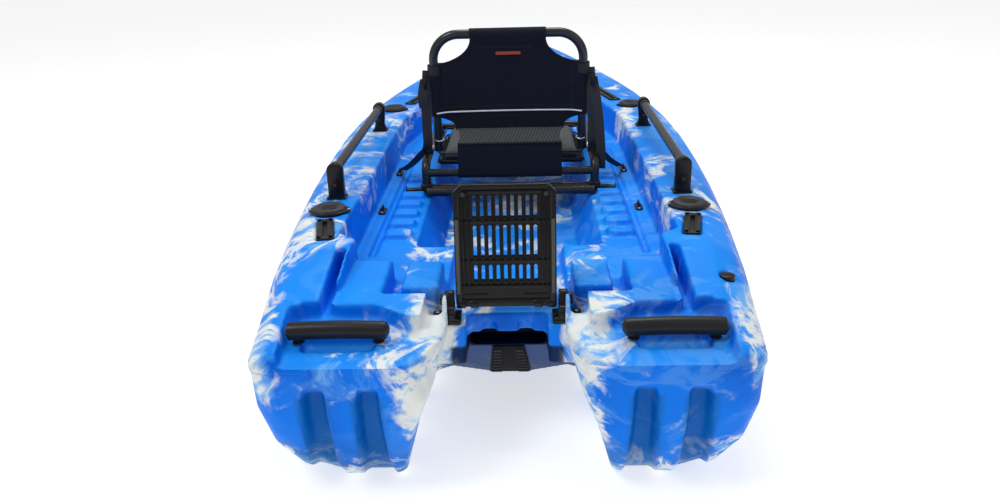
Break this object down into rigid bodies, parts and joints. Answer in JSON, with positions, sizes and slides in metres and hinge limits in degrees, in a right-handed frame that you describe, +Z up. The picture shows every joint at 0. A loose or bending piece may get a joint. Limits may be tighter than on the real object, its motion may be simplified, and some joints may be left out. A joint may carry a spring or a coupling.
{
  "type": "twin-stern sit-on-top fishing kayak",
  "caption": "Wide moulded fishing kayak with two stern pontoons, a folding slotted gate in the notch between them, side grab rails and a framed seat with a folding back",
  "frame": {"origin": "On the floor, under the middle of the hull's length, on the centre plane: the bottom centre of the bounding box.", "axes": "+Y towards the bow, +X to starboard, +Z up."},
  "size_m": [1, 3.2, 0.6372],
  "materials": {
    "hull_plastic": "rotomoulded polyethylene, bright blue marbled with white and pale cyan, slightly orange-peeled",
    "fittings": "black injection-moulded nylon, fine texture",
    "tube": "black powder-coated aluminium tube",
    "seat_fabric": "near-black navy woven polyester with a pale piping line and an open mesh band",
    "cushion_fabric": "grey textured seat fabric over foam",
    "webbing": "black woven webbing",
    "bolts": "stainless steel",
    "rubber_caps": "black moulded rubber"
  },
  "bodies": {
    "root": {"bow_handle": "fittings", "bow_hatch_rim": "fittings", "drain_plug": "fittings", "foot_brace_left": "fittings", "foot_brace_right": "fittings", "foot_track_left": "fittings", "foot_track_right": "fittings", "gate_bracket_left": "fittings", "gate_bracket_right": "fittings", "gear_track_aft_left": "fittings", "gear_track_aft_right": "fittings", "gear_track_fore_left": "fittings", "gear_track_fore_right": "fittings", "grab_rail_left": "tube", "grab_rail_right": "tube", "hull": "hull_plastic", "pad_eye_aft_left": "fittings", "pad_eye_aft_right": "fittings", "pad_eye_fore_left": "fittings", "pad_eye_fore_right": "fittings", "rail_post_aft_left": "fittings", "rail_post_aft_right": "fittings", "rail_post_fore_left": "fittings", "rail_post_fore_right": "fittings", "rod_cap_aft_left": "rubber_caps", "rod_cap_aft_right": "rubber_caps", "rod_cap_fore_left": "rubber_caps", "rod_cap_fore_right": "rubber_caps", "rod_holder_aft_left": "fittings", "rod_holder_aft_right": "fittings", "rod_holder_fore_left": "fittings", "rod_holder_fore_right": "fittings", "seat_apron": "seat_fabric", "seat_base_frame": "tube", "seat_cushion": "cushion_fabric", "seat_strap_left": "webbing", "seat_strap_right": "webbing", "skid_plate": "fittings", "stern_handle_left": "fittings", "stern_handle_right": "fittings"},
    "stern_gate": {"stern_gate": "fittings"},
    "seat_back": {"seat_back_frame": "tube", "seat_back_panel": "seat_fabric", "seat_pivot_left": "bolts", "seat_pivot_right": "bolts"},
    "bow_hatch_lid": {"bow_hatch_lid": "fittings"}
  },
  "joints": [
    {"name": "gate_fold", "type": "hinge", "parent": "root", "child": "stern_gate", "pos_m": [0, -1.404, 0.265], "axis": [1, 0, 0], "range_deg": [0, 99]},
    {"name": "seat_back_fold", "type": "hinge", "parent": "root", "child": "seat_back", "pos_m": [0, -0.63975, 0.338], "axis": [-1, 0, 0], "range_deg": [0, 84]},
    {"name": "hatch_lid", "type": "hinge", "parent": "root", "child": "bow_hatch_lid", "pos_m": [0, 1.131, 0.3445], "axis": [-1, 0, 0], "range_deg": [0, 100]}
  ]
}
